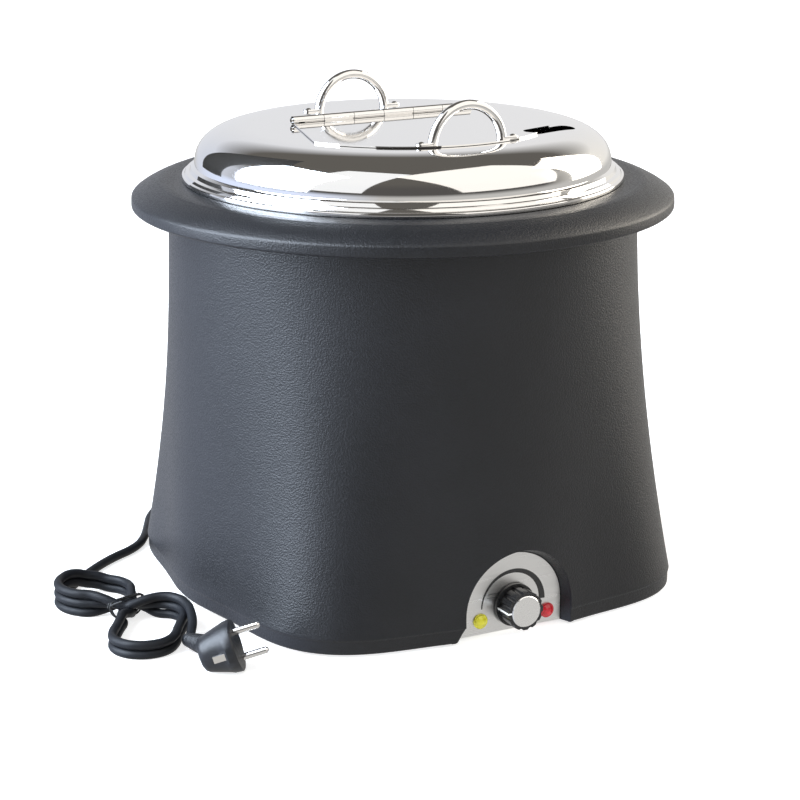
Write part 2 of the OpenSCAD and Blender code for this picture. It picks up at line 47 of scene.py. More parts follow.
# ---------------------------------------------------------------- camera
AZIMUTH = math.radians(28)
DISTANCE = 1.728
HEIGHT = 0.619
PITCH = math.radians(15.86)
TURN = -0.0012
LENS, SENSOR = 108, 36
camera_data = bpy.data.cameras.new("camera")
camera_data.lens = LENS
camera_data.sensor_width = SENSOR
camera_data.clip_end = 100
camera = bpy.data.objects.new("camera", camera_data)
bpy.context.scene.collection.objects.link(camera)
heading = Vector((math.sin(AZIMUTH), math.cos(AZIMUTH), 0))
camera.location = (-DISTANCE * heading.x, -DISTANCE * heading.y, HEIGHT)
across = Vector((heading.y, -heading.x, 0))
aim = (across * math.sin(TURN) + heading * math.cos(TURN)) * math.cos(PITCH) - Vector((0, 0, math.sin(PITCH)))
camera.rotation_euler = aim.to_track_quat("-Z", "Y").to_euler()
bpy.context.scene.camera = camera


# ------------------------------------------------------------- materials
def material(name, color, rough, metallic=0.0, **sockets):
    mat = bpy.data.materials.new(name)
    mat.use_nodes = True
    bsdf = mat.node_tree.nodes["Principled BSDF"]
    bsdf.inputs["Base Color"].default_value = (*color, 1)
    bsdf.inputs["Roughness"].default_value = rough
    bsdf.inputs["Metallic"].default_value = metallic
    for key, value in sockets.items():
        bsdf.inputs[key.replace("_", " ")].default_value = value
    return mat


def coords(mat, scale=(1, 1, 1)):
    nodes, links = mat.node_tree.nodes, mat.node_tree.links
    coord = nodes.new("ShaderNodeTexCoord")
    mapping = nodes.new("ShaderNodeMapping")
    mapping.inputs["Scale"].default_value = scale
    links.new(coord.outputs["Object"], mapping.inputs["Vector"])
    return mapping.outputs["Vector"]


def noise(mat, size, scale=(1, 1, 1), detail=3.0):
    node = mat.node_tree.nodes.new("ShaderNodeTexNoise")
    node.inputs["Scale"].default_value = 1 / size
    node.inputs["Detail"].default_value = detail
    mat.node_tree.links.new(coords(mat, scale), node.inputs["Vector"])
    return node.outputs["Fac"]


def ramp(mat, source, low, high, start=0.3, end=0.7):
    node = mat.node_tree.nodes.new("ShaderNodeMapRange")
    node.inputs["From Min"].default_value = start
    node.inputs["From Max"].default_value = end
    node.inputs["To Min"].default_value = low
    node.inputs["To Max"].default_value = high
    mat.node_tree.links.new(source, node.inputs["Value"])
    return node.outputs["Result"]


def vary_rough(mat, source, low, high):
    bsdf = mat.node_tree.nodes["Principled BSDF"]
    mat.node_tree.links.new(ramp(mat, source, low, high), bsdf.inputs["Roughness"])


def vary_color(mat, source, dark, light):
    nodes, links = mat.node_tree.nodes, mat.node_tree.links
    mix = nodes.new("ShaderNodeMix")
    mix.data_type = "RGBA"
    mix.inputs[6].default_value = (*dark, 1)
    mix.inputs[7].default_value = (*light, 1)
    links.new(ramp(mat, source, 0, 1), mix.inputs[0])
    links.new(mix.outputs[2], nodes["Principled BSDF"].inputs["Base Color"])


def bump(mat, source, distance, strength=1.0):
    nodes, links = mat.node_tree.nodes, mat.node_tree.links
    bsdf = nodes["Principled BSDF"]
    node = nodes.new("ShaderNodeBump")
    node.inputs["Distance"].default_value = distance
    node.inputs["Strength"].default_value = strength
    links.new(source, node.inputs["Height"])
    if bsdf.inputs["Normal"].is_linked:
        links.new(bsdf.inputs["Normal"].links[0].from_socket, node.inputs["Normal"])
    links.new(node.outputs["Normal"], bsdf.inputs["Normal"])


def grained_plastic(name, color, light, rough, cell, depth):
    """Moulded plastic with a fine leather grain of rounded cells."""
    mat = material(name, color, rough)
    nodes, links = mat.node_tree.nodes, mat.node_tree.links
    cells = nodes.new("ShaderNodeTexVoronoi")
    cells.feature = "SMOOTH_F1"
    cells.inputs["Scale"].default_value = 1 / cell
    cells.inputs["Smoothness"].default_value = 0.35
    cells.inputs["Randomness"].default_value = 0.9
    links.new(coords(mat), cells.inputs["Vector"])
    grain = cells.outputs["Distance"]
    vary_color(mat, noise(mat, 0.06), color, light)
    vary_rough(mat, grain, rough - 0.05, rough + 0.1)
    bump(mat, noise(mat, 0.0006), 0.00006, 0.5)
    bump(mat, grain, -depth, 1.0)
    return mat


def metal(name, color, low, high, size=0.02, scale=(1, 1, 1), scratch=0.0):
    mat = material(name, color, low, 1.0)
    source = noise(mat, size, scale)
    vary_rough(mat, source, low, high)
    if scratch:
        bump(mat, noise(mat, size * 0.25, scale), scratch, 0.6)
    return mat


def plain(name, color, light, low, high, size=0.01, depth=0.00003, **sockets):
    """Plastic, rubber or paint with slight changes of tone and gloss."""
    mat = material(name, color, low, **sockets)
    vary_color(mat, noise(mat, size), color, light)
    vary_rough(mat, noise(mat, size * 0.4), low, high)
    bump(mat, noise(mat, 0.0008), depth, 0.6)
    return mat


shell_plastic = grained_plastic(
    "shell_plastic", (0.006, 0.0065, 0.008), (0.008, 0.0085, 0.0105), 0.38, 0.0013, 0.00017,
)
chrome = metal("lid_chrome", (0.86, 0.85, 0.84), 0.035, 0.07, 0.05)
pressed = metal("pressed_steel", (0.62, 0.62, 0.62), 0.22, 0.34, 0.004, (1, 1, 8), 0.000002)
brushed = metal("brushed_plate", (0.90, 0.90, 0.90), 0.26, 0.38, 0.0015, (0.03, 1, 1), 0.00001)
knob_black = plain("knob_black", (0.012, 0.012, 0.013), (0.018, 0.018, 0.019), 0.14, 0.24, 0.008)
cap_metal = metal("cap_metal", (0.95, 0.95, 0.95), 0.2, 0.3, 0.002)
white = plain("pointer_white", (0.82, 0.82, 0.80), (0.88, 0.88, 0.87), 0.3, 0.4)
print_black = plain("print_black", (0.02, 0.02, 0.021), (0.03, 0.03, 0.03), 0.4, 0.55)
plated = metal("plated_steel", (0.66, 0.66, 0.67), 0.2, 0.35, 0.003)
cream = plain("cream_plastic", (0.74, 0.70, 0.60), (0.80, 0.77, 0.68), 0.35, 0.5)
brass = metal("brass", (0.78, 0.62, 0.33), 0.22, 0.35, 0.003)
copper = metal("copper", (0.85, 0.48, 0.34), 0.2, 0.35, 0.004)
amber = plain("amber_lens", (0.50, 0.46, 0.02), (0.70, 0.66, 0.04), 0.12, 0.2, 0.003, Coat_Weight=0.6)
red = plain("red_lens", (0.42, 0.008, 0.015), (0.60, 0.015, 0.03), 0.12, 0.2, 0.003, Coat_Weight=0.6)
sheath = metal("element_sheath", (0.24, 0.23, 0.22), 0.4, 0.6, 0.006)
cast = metal("cast_aluminium", (0.70, 0.70, 0.71), 0.4, 0.55, 0.003, (1, 1, 1), 0.00004)
zinc = metal("galvanised", (0.56, 0.57, 0.59), 0.35, 0.6, 0.012)
sleeve = plain("wire_sleeve", (0.05, 0.09, 0.35), (0.07, 0.12, 0.42), 0.35, 0.45)
rubber = plain("rubber", (0.018, 0.018, 0.018), (0.028, 0.028, 0.028), 0.6, 0.8)
cord_black = plain(
    "cord_black", (0.006, 0.007, 0.009), (0.010, 0.011, 0.014), 0.46, 0.58, 0.02, Specular_IOR_Level=0.25,
)
plug_black = plain("plug_black", (0.008, 0.009, 0.011), (0.013, 0.014, 0.017), 0.34, 0.46, 0.006, 0.00005)
tie_black = plain("tie_black", (0.012, 0.012, 0.012), (0.02, 0.02, 0.02), 0.45, 0.6)

FINISH = {
    shell_plastic: ["housing", "rim_collar"],
    pressed: ["well_pan", "soup_pot"],
    chrome: [
        "lid_shell", "lid_locating_ring", "lid_flap", "hinge_lid_leaf", "hinge_flap_leaf", "hinge_pin",
        "lid_handle_rear", "lid_handle_front", "rear_handle_rivets", "front_handle_rivets",
        "plug_pins", "plug_earth_strips",
    ],
    brushed: ["panel_plate"],
    print_black: ["scale_print"],
    knob_black: ["control_knob", "thermal_cutout", "cord_gland", "gland_nut"],
    cap_metal: ["knob_cap"],
    white: ["knob_pointer"],
    plated: ["thermostat_shaft", "shield_nuts", "base_screws"],
    cream: ["thermostat_body", "lamp_holders", "terminal_block"],
    brass: ["thermostat_nut"],
    copper: ["sensor_bulb", "capillary_tube"],
    amber: ["heating_lamp"],
    red: ["low_water_lamp"],
    sheath: ["heating_element"],
    cast: ["heat_spreader"],
    zinc: ["heat_shield", "base_plate"],
    sleeve: ["wiring_loom"],
    rubber: ["rubber_feet"],
    plug_black: ["strain_relief", "plug_body"],
    tie_black: ["cord_tie"],
    cord_black: ["mains_cord", "cord_hank"],
}
for finish, names in FINISH.items():
    for name in names:
        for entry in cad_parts[name].material_slots:
            entry.material = finish


# ----------------------------------------------------------- mesh helpers
def add_mesh(name, verts, faces, mat, slot, body, replaced=(), sharp=35):
    mesh = bpy.data.meshes.new(name)
    mesh.from_pydata(verts, [], faces)
    mesh.validate()
    tool = bmesh.new()
    tool.from_mesh(mesh)
    bmesh.ops.recalc_face_normals(tool, faces=tool.faces)
    tool.to_mesh(mesh)
    tool.free()
    mesh.shade_smooth()
    mesh.set_sharp_from_angle(angle=math.radians(sharp))
    mesh.materials.append(mat)
    obj = bpy.data.objects.new(name, mesh)
    bpy.context.scene.collection.objects.link(obj)
    if slot:
        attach(obj, body)
    if replaced:
        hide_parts(*replaced)
    return obj


def grid_faces(rows, columns, closed_rows=False):
    """Quads between rings of points; each ring closes on itself."""
    faces = []
    for i in range(rows if closed_rows else rows - 1):
        for j in range(columns):
            k = (j + 1) % columns
            n = (i + 1) % rows
            faces.append((i * columns + j, i * columns + k, n * columns + k, n * columns + j))
    return faces


def lathe_mesh(profile, segments):
    """Closed profile of (radius, z) in mm turned about the Z axis."""
    verts = []
    for r, z in profile:
        for j in range(segments):
            a = 2 * math.pi * j / segments
            verts.append((r * MM * math.cos(a), r * MM * math.sin(a), z * MM))
    return verts, grid_faces(len(profile), segments, True)


def smooth_profile(points, steps=4):
    """Catmull-Rom curve through open profile points."""
    out = []
    for i in range(len(points) - 1):
        p0 = points[max(i - 1, 0)]
        p1, p2 = points[i], points[i + 1]
        p3 = points[min(i + 2, len(points) - 1)]
        for k in range(steps):
            t = k / steps
            out.append(tuple(
                0.5 * (2 * p1[c] + (p2[c] - p0[c]) * t
                       + (2 * p0[c] - 5 * p1[c] + 4 * p2[c] - p3[c]) * t * t
                       + (3 * p1[c] - p0[c] - 3 * p2[c] + p3[c]) * t ** 3)
                for c in range(len(p1))))
    out.append(tuple(points[-1]))
    return out


def prism(outline, axis_u, axis_v, start, end):
    """Closed prism of a 2D outline between two offset points, for cutting."""
    n = len(outline)
    verts = [Vector(start) + u * axis_u + v * axis_v for u, v in outline]
    verts += [Vector(end) + u * axis_u + v * axis_v for u, v in outline]
    faces = [tuple(range(n)), tuple(range(2 * n - 1, n - 1, -1))]
    faces += [(i, (i + 1) % n, n + (i + 1) % n, n + i) for i in range(n)]
    return verts, faces


def cut(obj, verts, faces):
    """Subtracts a closed shape from obj and removes the cutter."""
    cutter = add_mesh("cutter", verts, faces, chrome, None, None)
    modifier = obj.modifiers.new("cut", "BOOLEAN")
    modifier.operation = "DIFFERENCE"
    modifier.solver = "EXACT"
    modifier.object = cutter
    depsgraph = bpy.context.evaluated_depsgraph_get()
    result = bpy.data.meshes.new_from_object(obj.evaluated_get(depsgraph))
    obj.modifiers.clear()
    old = obj.data
    obj.data = result
    bpy.data.meshes.remove(old)
    bpy.data.objects.remove(cutter)


def tube(path, radii, sides=28):
    """Rings swept along a path (mm), capped at both ends."""
    points = [Vector(p) * MM for p in path]
    verts = []
    normal = None
    for i, p in enumerate(points):
        tangent = (points[min(i + 1, len(points) - 1)] - points[max(i - 1, 0)]).normalized()
        if normal is None:
            normal = tangent.orthogonal().normalized()
        normal = (normal - tangent * normal.dot(tangent)).normalized()
        side = tangent.cross(normal)
        for k in range(sides):
            a = 2 * math.pi * k / sides
            verts.append(p + (normal * math.cos(a) + side * math.sin(a)) * radii[i] * MM)
    faces = grid_faces(len(points), sides)
    faces += [tuple(range(sides)), tuple(range(len(verts) - 1, len(verts) - sides - 1, -1))]
    return verts, faces


# ------------------------------------------------------------------ cord
CORD_D = 6.6
LEAD = [
    (0, 213, 24), (0, 224, 23), (-3, 236, 19.5), (-11, 246, 14), (-24, 251.2, 8.2),
    (-40, 251.2, 4.4), (-58, 247, 3.4), (-76, 238, 3.4), (-93, 227, 3.4), (-108, 213, 3.4),
    (-121, 197, 3.4), (-133, 181, 3.4), (-142, 164, 3.4), (-150, 148, 3.4), (-158, 134, 3.4),
    (-167, 122, 3.4), (-179, 112, 3.4), (-191, 105, 3.4), (-203, 97, 3.4), (-215, 87.5, 3.4),
    (-226.5, 77, 3.4), (-237.5, 66, 3.4), (-246.5, 56.5, 3.4),
]
LEFT = Vector((-240, 24))
LEFT_R = 26.2
MID = Vector((-221, -41))
RIGHT = Vector((-241, -72))
RIGHT_R = 21.7
STEP_UP = 6.8
LOW = 3.4
CROSS_STEPS = (-0.62, -0.25, 0.0, 0.25, 0.62)
SPREAD_REACH = 22


def hank_path():
    """Centre line of the tied figure-eight turns, from the lead's end to the plug's boot."""
    base = MID - LEFT
    gap = base.length
    lean = math.atan2(base.y, base.x)
    tilt = math.asin((LEFT_R + RIGHT_R) / gap)
    axis = math.atan2(RIGHT.y - MID.y, RIGHT.x - MID.x)

    def left(deg):
        return LEFT + LEFT_R * Vector((math.cos(math.radians(deg)), math.sin(math.radians(deg))))

    # Angles where the crossing strands touch the left lobe
    out_angle = math.degrees(lean - math.pi / 2 + tilt)
    in_angle = math.degrees(lean + math.pi / 2 - tilt)
    cross = LEFT + base * (LEFT_R / (LEFT_R + RIGHT_R))
    arm_left = LEFT_R / math.tan(tilt)
    arm_right = RIGHT_R / math.tan(tilt)
    tangent_out = left(out_angle)
    tangent_in = left(in_angle)
    a_dir = (cross - tangent_out).normalized()
    b_dir = (tangent_in - cross).normalized()
    a_side = Vector((-a_dir.y, a_dir.x))
    b_side = Vector((-b_dir.y, b_dir.x))
    points = []

    def add(xy, z):
        points.append((xy.x, xy.y, z))

    def left_arc(start, stop, z_start, z_stop, count):
        for i in range(count + 1):
            t = i / count
            ease = t * t * (3 - 2 * t)
            add(left(start + (stop - start) * t), z_start + (z_stop - z_start) * ease)

    def spread(along):
        """Quarter turn at the crossing, down to zero where the strands stack again."""
        return math.pi / 2 * max(0.0, 1 - abs(along) / SPREAD_REACH) ** 0.7

    def strand_a(k):
        """Upper crossing strand towards the right lobe; k counts the turns from 0."""
        for t in CROSS_STEPS:
            along = t * (arm_left if t < 0 else arm_right)
            theta = spread(along)
            lateral = (k - 1) * STEP_UP * math.sin(theta)
            height = LOW + STEP_UP + (k - 1) * STEP_UP * math.cos(theta)
            add(cross + a_dir * along - a_side * lateral, height)

    def strand_b(k):
        """Lower crossing strand back towards the left lobe."""
        for t in CROSS_STEPS:
            along = t * (arm_right if t < 0 else arm_left)
            theta = spread(along)
            lateral = (k - 0.5) * STEP_UP * math.sin(theta)
            height = LOW + k * STEP_UP * math.cos(theta)
            add(cross + b_dir * along - b_side * lateral, height)

    touch = cross + a_dir * arm_right
    start = math.degrees(math.atan2(touch.y - MID.y, touch.x - MID.x))
    side = math.degrees(axis) + 90

    def round_at(centre, deg):
        return centre + RIGHT_R * Vector((math.cos(math.radians(deg)), math.sin(math.radians(deg))))

    def right_lobe(z):
        """Clockwise round the long right lobe."""
        s = start
        e = side if side < s else side - 360
        for i in range(4):
            add(round_at(MID, s + (e - s) * i / 3), z)
        for i in range(1, 3):
            add(round_at(MID.lerp(RIGHT, i / 3), e), z)
        for i in range(7):
            add(round_at(RIGHT, e - 180 * i / 6), z)
        for i in range(1, 3):
            add(round_at(RIGHT.lerp(MID, i / 3), e - 180), z)
        add(round_at(MID, e - 180), z)

    low, mid, top = LOW, LOW + STEP_UP, LOW + 2 * STEP_UP
    out_turn = out_angle % 360
    in_turn = in_angle % 360
    left_arc(150, out_turn, low, low, 4)
    strand_a(0)
    right_lobe(low)
    strand_b(0)
    if in_turn > 180:
        in_turn -= 360
    left_arc(in_turn, 48, low, low, 3)
    left_arc(66, 112, low + 2, mid, 3)
    left_arc(130, out_turn, mid, mid, 6)
    strand_a(1)
    right_lobe(mid)
    strand_b(1)
    left_arc(in_turn, 48, mid, mid, 3)
    left_arc(66, 112, mid + 2, top, 3)
    left_arc(130, out_turn, top, top, 6)
    strand_a(2)
    points.extend([
        (-208, -26, 16.8), (-200.5, -34, 17), (-198, -46, 16.2), (-200, -59, 14.5),
        (-204.5, -72, 11.2), (-210.5, -83, 8.4),
    ])
    return points


cord_points = LEAD + [(-256, 45, 3.4)] + hank_path() + [(-214.6, -92, 7.7), (-214.8, -101, 9.4)]
cord_data = bpy.data.curves.new("mains_lead", "CURVE")
cord_data.dimensions = "3D"
cord_data.resolution_u = 6
cord_data.bevel_depth = CORD_D / 2 * MM
cord_data.bevel_resolution = 6
cord_data.use_fill_caps = True
spline = cord_data.splines.new("BEZIER")
spline.bezier_points.add(len(cord_points) - 1)
for point, place in zip(spline.bezier_points, cord_points):
    point.co = Vector(place) * MM
    point.handle_left_type = point.handle_right_type = "AUTO"
cord_data.materials.append(cord_black)
lead = bpy.data.objects.new("mains_lead", cord_data)
bpy.context.scene.collection.objects.link(lead)
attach(lead, "housing_body")
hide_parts("mains_cord", "cord_hank")

# --------------------------------------------------------------- housing
TOP_R, BASE_FLAT, BASE_CORNER, SIDE_BOW = 171, 180, 204, 4
FOOT_H, HOUSING_TOP, FLARE_POWER, WALL = 13, 281.5, 1.7, 3.5


def flare(z):
    return 1.0 if z <= FOOT_H else ((HOUSING_TOP - z) / (HOUSING_TOP - FOOT_H)) ** FLARE_POWER


def reach(a, s):
    middle = (BASE_FLAT + BASE_CORNER) / 2 - SIDE_BOW
    half = (BASE_CORNER - BASE_FLAT) / 2
    return TOP_R * (1 - s) + s * (middle - half * math.cos(4 * a) + SIDE_BOW * math.cos(8 * a))


def shell_ring(z, inset, columns):
    ring = []
    for j in range(columns):
        a = 2 * math.pi * j / columns
        r = reach(a, flare(z)) - inset
        ring.append((r * math.cos(a) * MM, r * math.sin(a) * MM, z * MM))
    return ring


def build_housing():
    columns = 360
    levels = [
        (2, 2.4), (2.3, 1.6), (3, 1.0), (4, 0.8), (11.2, 0.8), (12, 0.7), (12.6, 0.25), (13.2, 0.02), (14, 0),
    ]
    levels += [(14 + (HOUSING_TOP - 14) * k / 60, 0) for k in range(1, 61)]
    verts = []
    for z, inset in levels:
        verts += shell_ring(z, inset, columns)
    inner = [(z, WALL) for z in (HOUSING_TOP, 240, 200, 160, 120, 80, 50, 30, 13, 6, 2)]
    for z, inset in inner:
        verts += shell_ring(z, inset, columns)
    faces = grid_faces(len(levels) + len(inner), columns, True)
    return add_mesh("housing_shell", verts, faces, shell_plastic, "housing_plastic", "housing_body", ("housing",))


housing = build_housing()
RECESS_R, DRAFT, BACK_Y, ARCH_Z = 38.8, 0.37, -164, 20


def arch_outline(r, low):
    pts = [(-r, low), (r, low)]
    pts += [(r * math.cos(math.pi * i / 48), ARCH_Z + r * math.sin(math.pi * i / 48)) for i in range(49)]
    return pts


def loft(back, front, y_back, y_front):
    """Closed shape between two outlines of the same count, drawn in x and z (mm)."""
    n = len(back)
    verts = [Vector((x, y_back, z)) * MM for x, z in back] + [Vector((x, y_front, z)) * MM for x, z in front]
    faces = [tuple(range(n)), tuple(range(2 * n - 1, n - 1, -1))]
    faces += [(i, (i + 1) % n, n + (i + 1) % n, n + i) for i in range(n)]
    return verts, faces


FRONT_Y = -194
FLARE_SLOPE = 0.75
front_r = RECESS_R + (BACK_Y - FRONT_Y) * DRAFT
cut(housing, *loft(arch_outline(RECESS_R - 2, -5), arch_outline(front_r, -5), BACK_Y + 6, FRONT_Y))
FOOT_SPREAD = 1.06
foot_cut = [(-52, -5), (-42.5, FOOT_H), (-30, FOOT_H), (-30, -5)]
cut(housing, *loft(foot_cut, [(x * FOOT_SPREAD, z) for x, z in foot_cut], BACK_Y + 1, FRONT_Y))
housing.data.shade_smooth()
housing.data.set_sharp_from_angle(angle=math.radians(38))


def surface_y(x, z):
    """Depth of the housing's outside at x and z, near the panel."""
    phi = 0.0
    for _ in range(12):
        r = reach(phi - math.pi / 2, flare(z))
        phi = math.asin(max(-1.0, min(1.0, x / r)))
    return -r * math.cos(phi)


def arch_row(radius, count):
    """Arch from foot to foot at the radius that radius(x, z) gives, with the left foot flared out."""
    row = []
    for i in range(count):
        t = i / (count - 1) * 2 - 1
        if abs(t) > 0.8:
            z = 2.2 + (ARCH_Z - 2.2) * (1 - abs(t)) / 0.2
            x = math.copysign(1, t)
        else:
            z = ARCH_Z
            x = None
        row.append((t, x, z))
    points = []
    for t, x, z in row:
        r = radius(0, 0)
        for _ in range(4):
            if x is None:
                angle = math.pi / 2 * (1 - t / 0.8)
                px, pz = r * math.cos(angle), ARCH_Z + r * math.sin(angle)
            else:
                px, pz = r * x, z
                if x < 0 and z < FOOT_H:
                    px -= (FOOT_H - z) * FLARE_SLOPE
            r = radius(px, pz)
        points.append((px, pz))
    return points


def recess_surround():
    """Drafted wall of the recess behind the shell's opening."""
    count = 81

    def lip(x, z):
        return surface_y(x, max(z, FOOT_H)) + 1.2

    def at_lip(x, z, grow=0.0):
        return RECESS_R + (BACK_Y - lip(x, z)) * DRAFT + grow

    rows = [
        (arch_row(lambda x, z: RECESS_R, count), None),
        (arch_row(at_lip, count), lip),
        (arch_row(lambda x, z: at_lip(x, z, 3.0), count), lip),
        (arch_row(lambda x, z: RECESS_R + 3.2, count), None),
    ]
    verts = []
    for k, (row, depth) in enumerate(rows):
        for x, z in row:
            y = depth(x, z) if depth else (BACK_Y if k == 0 else BACK_Y + 2.5)
            verts.append((x * MM, y * MM, z * MM))
    faces = []
    for i in range(4):
        k = (i + 1) % 4
        for j in range(count - 1):
            faces.append((i * count + j, i * count + j + 1, k * count + j + 1, k * count + j))
    faces.append((0, count, 2 * count, 3 * count))
    faces.append((count - 1, 4 * count - 1, 3 * count - 1, 2 * count - 1))
    return add_mesh("recess_surround", verts, faces, shell_plastic, "housing_plastic", "housing_body")


recess_surround()

# ---------------------------------------------------------------- collar
R, Z = 197.5, 298.5
outer = smooth_profile([
    (R - 1.3, Z - 19), (R - 0.4, Z - 18.3), (R - 0.05, Z - 17.2), (R - 0.2, Z - 12.2), (R - 0.7, Z - 10.9),
    (R - 2.0, Z - 9.6), (R - 6.5, Z - 6.6), (R - 13, Z - 3.3), (R - 19.5, Z - 0.9),
    (R - 21, Z - 0.45), (R - 24, Z),
], 4)
collar_profile = outer + [
    (172, Z), (160.2, Z), (160.2, Z - 3.5), (149.5, Z - 3.5), (149.5, HOUSING_TOP),
    (152.5, HOUSING_TOP), (152.5, Z - 7), (163.5, Z - 7), (165, Z - 4.5), (R - 25, Z - 3.6),
    (R - 14, Z - 6.3), (R - 7.5, Z - 9.4), (R - 4, Z - 12.5), (R - 4, Z - 19),
]
verts, faces = lathe_mesh(collar_profile, 288)
add_mesh("collar", verts, faces, shell_plastic, "housing_plastic", "housing_body", ("rim_collar",), 30)

# ------------------------------------------------------------------- lid
LID_TOP, LID_BASE, LID_R, STEEL = 336.5, 298.8, 160.6, 1.2
DOME_FLAT_R, DOME_FOOT_R, DOME_FOOT_Z, DOME_POWER = 110, 151.4, 309, 2.4
FLAP_R, FLAP_HALF, FLAP_CORNER_DEG = 106, 73.5, 63


def dome(t, steps):
    out = []
    for i in range(steps + 1):
        a = math.pi / 2 * i / steps
        out.append((
            DOME_FLAT_R + (DOME_FOOT_R - t - DOME_FLAT_R) * max(math.cos(a), 0) ** (2 / DOME_POWER),
            DOME_FOOT_Z + (LID_TOP - t - DOME_FOOT_Z) * math.sin(a) ** (2 / DOME_POWER),
        ))
    return out


def notch_outline():
    """Rounded slot for the ladle's handle, in mm on the plan."""
    x0, y0, length, width, turn = 79, -74, 48, 15, math.radians(17)
    half = (length - width) / 2
    pts = []
    for s in (1, -1):
        for i in range(17):
            a = -math.pi / 2 + math.pi * i / 16
            pts.append((s * (half + width / 2 * math.cos(a)), s * width / 2 * math.sin(a)))
    c, d = math.cos(turn), math.sin(turn)
    return [((x0 + x * c - y * d) * MM, (y0 + x * d + y * c) * MM) for x, y in pts]


def flap_outline(inset, rear):
    """Outline of the hinged flap, in mm on the plan."""
    r = FLAP_R - inset
    half = FLAP_HALF - inset
    side = FLAP_R * math.sin(math.radians(FLAP_CORNER_DEG)) - inset
    corner = math.acos(side / r)
    pts = [(-half, rear)]
    count = 48
    for i in range(count + 1):
        angle = math.pi + corner + (math.pi - 2 * corner) * i / count
        pts.append((r * math.cos(angle), r * math.sin(angle)))
    pts.append((half, rear))
    return [(x * MM, y * MM) for x, y in pts]


X_AXIS, Y_AXIS = Vector((1, 0, 0)), Vector((0, 1, 0))
low = LID_BASE
flange = [
    (152, low), (LID_R - 0.4, low), (LID_R - 0.1, low + 0.2), (LID_R, low + 0.6), (LID_R, low + 2.6),
    (LID_R - 0.2, low + 3.1), (LID_R - 0.8, low + 3.5), (LID_R - 1.8, low + 3.8), (LID_R - 2.2, low + 4.6),
    (LID_R - 2.8, low + 5.5), (LID_R - 4.2, low + 6), (LID_R - 5.4, low + 6.3), (LID_R - 6.0, low + 7.4),
    (LID_R - 6.6, low + 8.8), (LID_R - 7.6, low + 9.5),
]
lid_profile = flange + dome(0, 40)
lid_profile += [(60, LID_TOP), (0.02, LID_TOP), (0.02, LID_TOP - STEEL), (60, LID_TOP - STEEL)]
lid_profile += dome(STEEL, 20)[::-1] + [(DOME_FOOT_R - STEEL, low + 9), (152, low + 8)]
verts, faces = lathe_mesh(lid_profile, 360)
lid = add_mesh("lid", verts, faces, chrome, "polished_steel", "lid_body", ("lid_shell",), 25)
cut(lid, *prism(flap_outline(6, 35.2), X_AXIS, Y_AXIS, (0, 0, (LID_TOP - 8) * MM), (0, 0, (LID_TOP + 8) * MM)))
cut(lid, *prism(notch_outline(), X_AXIS, Y_AXIS, (0, 0, (LID_TOP - 20) * MM), (0, 0, (LID_TOP + 10) * MM)))
lid.data.shade_smooth()
lid.data.set_sharp_from_angle(angle=math.radians(25))


# ------------------------------------------------------------------ plug
def build_plug():
    """Moulded plug: round face, waisted shoulders and a ribbed boot leaving on the side."""
    tilt, turn = math.radians(18), math.radians(-28)
    u = Vector((math.cos(tilt) * math.cos(turn), math.cos(tilt) * math.sin(turn), math.sin(tilt)))
    v = Vector((-math.sin(turn), math.cos(turn), 0))
    w = u.cross(v)
    at = Vector((-201, -141, 19))
    sections = [
        (0.0, 17.4, 17.4), (-0.6, 18.1, 18.1), (-1.4, 18.4, 18.2), (-6.0, 18.4, 17.7), (-8.0, 17.2, 17.0),
        (-12.0, 15.4, 15.8), (-17.0, 14.2, 14.2), (-22.0, 13.0, 12.6), (-24.6, 11.2, 11.2), (-25.9, 8.4, 8.4),
    ]
    columns = 72
    verts = []
    for depth, half_v, half_w in sections:
        for j in range(columns):
            a = 2 * math.pi * j / columns
            grip = 1.0
            if -22.5 < depth < -6.5:
                grip = 1 - 0.05 * abs(math.cos(a)) ** 6
            verts.append((at + u * depth + v * half_v * grip * math.cos(a) + w * half_w * math.sin(a)) * MM)
    faces = grid_faces(len(sections), columns)
    faces += [tuple(range(columns)), tuple(range(len(verts) - 1, len(verts) - columns - 1, -1))]
    plug = add_mesh("plug_moulding", verts, faces, plug_black, "plug_plastic", "housing_body", ("plug_body",), 40)
    boot_start, boot_end = Vector((-213, -126, 14)), Vector((-215.5, -90, 7.5))
    path, radii = [], []
    steps = 60
    for i in range(steps + 1):
        t = i / steps
        path.append(boot_start.lerp(boot_end, t))
        rib = 0.55 if 0.28 < t < 0.93 and (t * 14) % 1 < 0.42 else 0.0
        radii.append(8.5 - 3.6 * t - rib)
    path_verts, path_faces = tube(path, radii, 32)
    boot = add_mesh("plug_boot", path_verts, path_faces, plug_black, "plug_plastic", "housing_body", (), 30)
    return plug, boot


plug, boot = build_plug()


